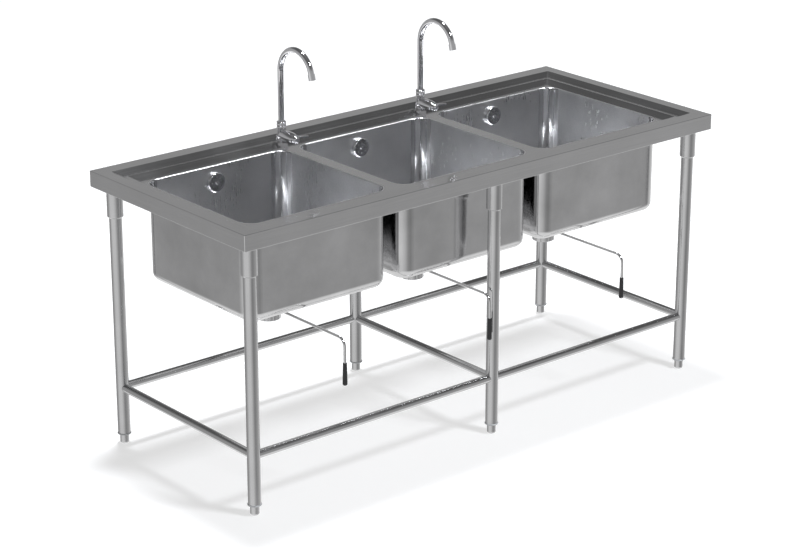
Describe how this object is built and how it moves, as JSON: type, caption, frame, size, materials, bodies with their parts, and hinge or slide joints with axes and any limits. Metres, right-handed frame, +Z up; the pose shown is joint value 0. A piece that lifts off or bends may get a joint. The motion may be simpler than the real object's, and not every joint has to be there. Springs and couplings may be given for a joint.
{
  "type": "three compartment sink",
  "caption": "Freestanding stainless steel wash-up sink with deep bowls in a stepped worktop, gooseneck taps and lever wastes on a tubular stand.",
  "frame": {"origin": "on the floor, below the middle of the worktop", "axes": "+X to the right along the sink's length, +Y to the back, +Z up"},
  "size_m": [1.8, 0.75, 1.1432],
  "materials": {
    "worktop_steel": "fine brushed, satin",
    "bowl_steel": "drawn and brushed, satin",
    "tube_steel": "polished tube, satin",
    "socket_steel": "turned, satin",
    "channel_steel": "mill finish",
    "foot_steel": "turned, satin",
    "insert_plastic": "moulded grey plastic",
    "screw_steel": "plain",
    "tap_chrome": "polished chrome plating",
    "waste_plastic": "cast and polished",
    "fitting_plastic": "cast, satin plating",
    "gasket_rubber": "matt black",
    "grip_plastic": "matt black dip",
    "rod_steel": "bright drawn rod",
    "stopper_steel": "polished",
    "overflow_chrome": "polished chrome plating",
    "pipe_plastic": "moulded pale grey plastic",
    "brass_nut": "turned brass"
  },
  "bodies": {
    "stand_and_bowls": {"bowl_left": "bowl_steel", "bowl_middle": "bowl_steel", "bowl_right": "bowl_steel", "foot_inserts": "insert_plastic", "grub_screws": "screw_steel", "leg_back_left": "tube_steel", "leg_back_middle": "tube_steel", "leg_back_right": "tube_steel", "leg_front_left": "tube_steel", "leg_front_middle": "tube_steel", "leg_front_right": "tube_steel", "leg_sockets": "socket_steel", "overflow_bezels": "overflow_chrome", "overflow_elbows": "pipe_plastic", "overflow_gaskets": "gasket_rubber", "overflow_pipes": "pipe_plastic", "overflow_plates": "overflow_chrome", "overflow_screws": "overflow_chrome", "rail_back_left": "tube_steel", "rail_back_right": "tube_steel", "rail_front_left": "tube_steel", "rail_front_right": "tube_steel", "rail_left": "tube_steel", "rail_middle": "tube_steel", "rail_right": "tube_steel", "spout_nuts": "tap_chrome", "support_channel_back": "channel_steel", "support_channel_front": "channel_steel", "tap_body_left": "tap_chrome", "tap_body_right": "tap_chrome", "tap_nuts": "brass_nut", "tap_washers": "gasket_rubber", "waste_bodies": "waste_plastic", "waste_coupling_nuts": "fitting_plastic", "waste_gaskets": "gasket_rubber", "waste_gland_nuts": "fitting_plastic", "waste_locknuts": "fitting_plastic", "waste_outlet_washers": "gasket_rubber", "worktop": "worktop_steel"},
    "spout_left": {"spout_left": "tap_chrome", "aerator_left": "tap_chrome"},
    "tap_handle_left": {"tap_handle_left": "tap_chrome"},
    "spout_right": {"spout_right": "tap_chrome", "aerator_right": "tap_chrome"},
    "tap_handle_right": {"tap_handle_right": "tap_chrome"},
    "foot_front_left": {"foot_front_left": "foot_steel"},
    "foot_front_middle": {"foot_front_middle": "foot_steel"},
    "foot_front_right": {"foot_front_right": "foot_steel"},
    "foot_back_left": {"foot_back_left": "foot_steel"},
    "foot_back_middle": {"foot_back_middle": "foot_steel"},
    "foot_back_right": {"foot_back_right": "foot_steel"},
    "waste_lever_left": {"waste_lever_rod_left": "rod_steel", "waste_lever_grip_left": "grip_plastic"},
    "waste_stopper_left": {"waste_stopper_left": "stopper_steel"},
    "waste_lever_middle": {"waste_lever_rod_middle": "rod_steel", "waste_lever_grip_middle": "grip_plastic"},
    "waste_stopper_middle": {"waste_stopper_middle": "stopper_steel"},
    "waste_lever_right": {"waste_lever_rod_right": "rod_steel", "waste_lever_grip_right": "grip_plastic"},
    "waste_stopper_right": {"waste_stopper_right": "stopper_steel"}
  },
  "joints": [
    {"name": "spout_swivel_left", "type": "hinge", "parent": "stand_and_bowls", "child": "spout_left", "pos_m": [-0.2735, 0.285, 0.899], "axis": [0, 0, 1], "continuous": true},
    {"name": "tap_handle_turn_left", "type": "hinge", "parent": "stand_and_bowls", "child": "tap_handle_left", "pos_m": [-0.2735, 0.219, 0.857], "axis": [0, -1, 0], "range_deg": [0, 90]},
    {"name": "spout_swivel_right", "type": "hinge", "parent": "stand_and_bowls", "child": "spout_right", "pos_m": [0.2735, 0.285, 0.899], "axis": [0, 0, 1], "continuous": true},
    {"name": "tap_handle_turn_right", "type": "hinge", "parent": "stand_and_bowls", "child": "tap_handle_right", "pos_m": [0.2735, 0.219, 0.857], "axis": [0, -1, 0], "range_deg": [0, 90]},
    {"name": "foot_screw_front_left", "type": "slide", "parent": "stand_and_bowls", "child": "foot_front_left", "axis": [0, 0, -1], "range_m": [0, 0.025]},
    {"name": "foot_screw_front_middle", "type": "slide", "parent": "stand_and_bowls", "child": "foot_front_middle", "axis": [0, 0, -1], "range_m": [0, 0.025]},
    {"name": "foot_screw_front_right", "type": "slide", "parent": "stand_and_bowls", "child": "foot_front_right", "axis": [0, 0, -1], "range_m": [0, 0.025]},
    {"name": "foot_screw_back_left", "type": "slide", "parent": "stand_and_bowls", "child": "foot_back_left", "axis": [0, 0, -1], "range_m": [0, 0.025]},
    {"name": "foot_screw_back_middle", "type": "slide", "parent": "stand_and_bowls", "child": "foot_back_middle", "axis": [0, 0, -1], "range_m": [0, 0.025]},
    {"name": "foot_screw_back_right", "type": "slide", "parent": "stand_and_bowls", "child": "foot_back_right", "axis": [0, 0, -1], "range_m": [0, 0.025]},
    {"name": "waste_lever_turn_left", "type": "hinge", "parent": "stand_and_bowls", "child": "waste_lever_left", "pos_m": [-0.547, -0.048, 0.4595], "axis": [0, 1, 0], "range_deg": [0, 90]},
    {"name": "stopper_lift_left", "type": "slide", "parent": "stand_and_bowls", "child": "waste_stopper_left", "axis": [0, 0, 1], "range_m": [0, 0.008]},
    {"name": "waste_lever_turn_middle", "type": "hinge", "parent": "stand_and_bowls", "child": "waste_lever_middle", "pos_m": [0, -0.048, 0.4595], "axis": [0, 1, 0], "range_deg": [0, 90]},
    {"name": "stopper_lift_middle", "type": "slide", "parent": "stand_and_bowls", "child": "waste_stopper_middle", "axis": [0, 0, 1], "range_m": [0, 0.008]},
    {"name": "waste_lever_turn_right", "type": "hinge", "parent": "stand_and_bowls", "child": "waste_lever_right", "pos_m": [0.547, -0.048, 0.4595], "axis": [0, 1, 0], "range_deg": [0, 90]},
    {"name": "stopper_lift_right", "type": "slide", "parent": "stand_and_bowls", "child": "waste_stopper_right", "axis": [0, 0, 1], "range_m": [0, 0.008]}
  ],
  "couplings": [
    {"joint": "stopper_lift_left", "follows": "waste_lever_turn_left", "m_per_rad": 0.0050929},
    {"joint": "stopper_lift_middle", "follows": "waste_lever_turn_middle", "m_per_rad": 0.0050929},
    {"joint": "stopper_lift_right", "follows": "waste_lever_turn_right", "m_per_rad": 0.0050929}
  ]
}
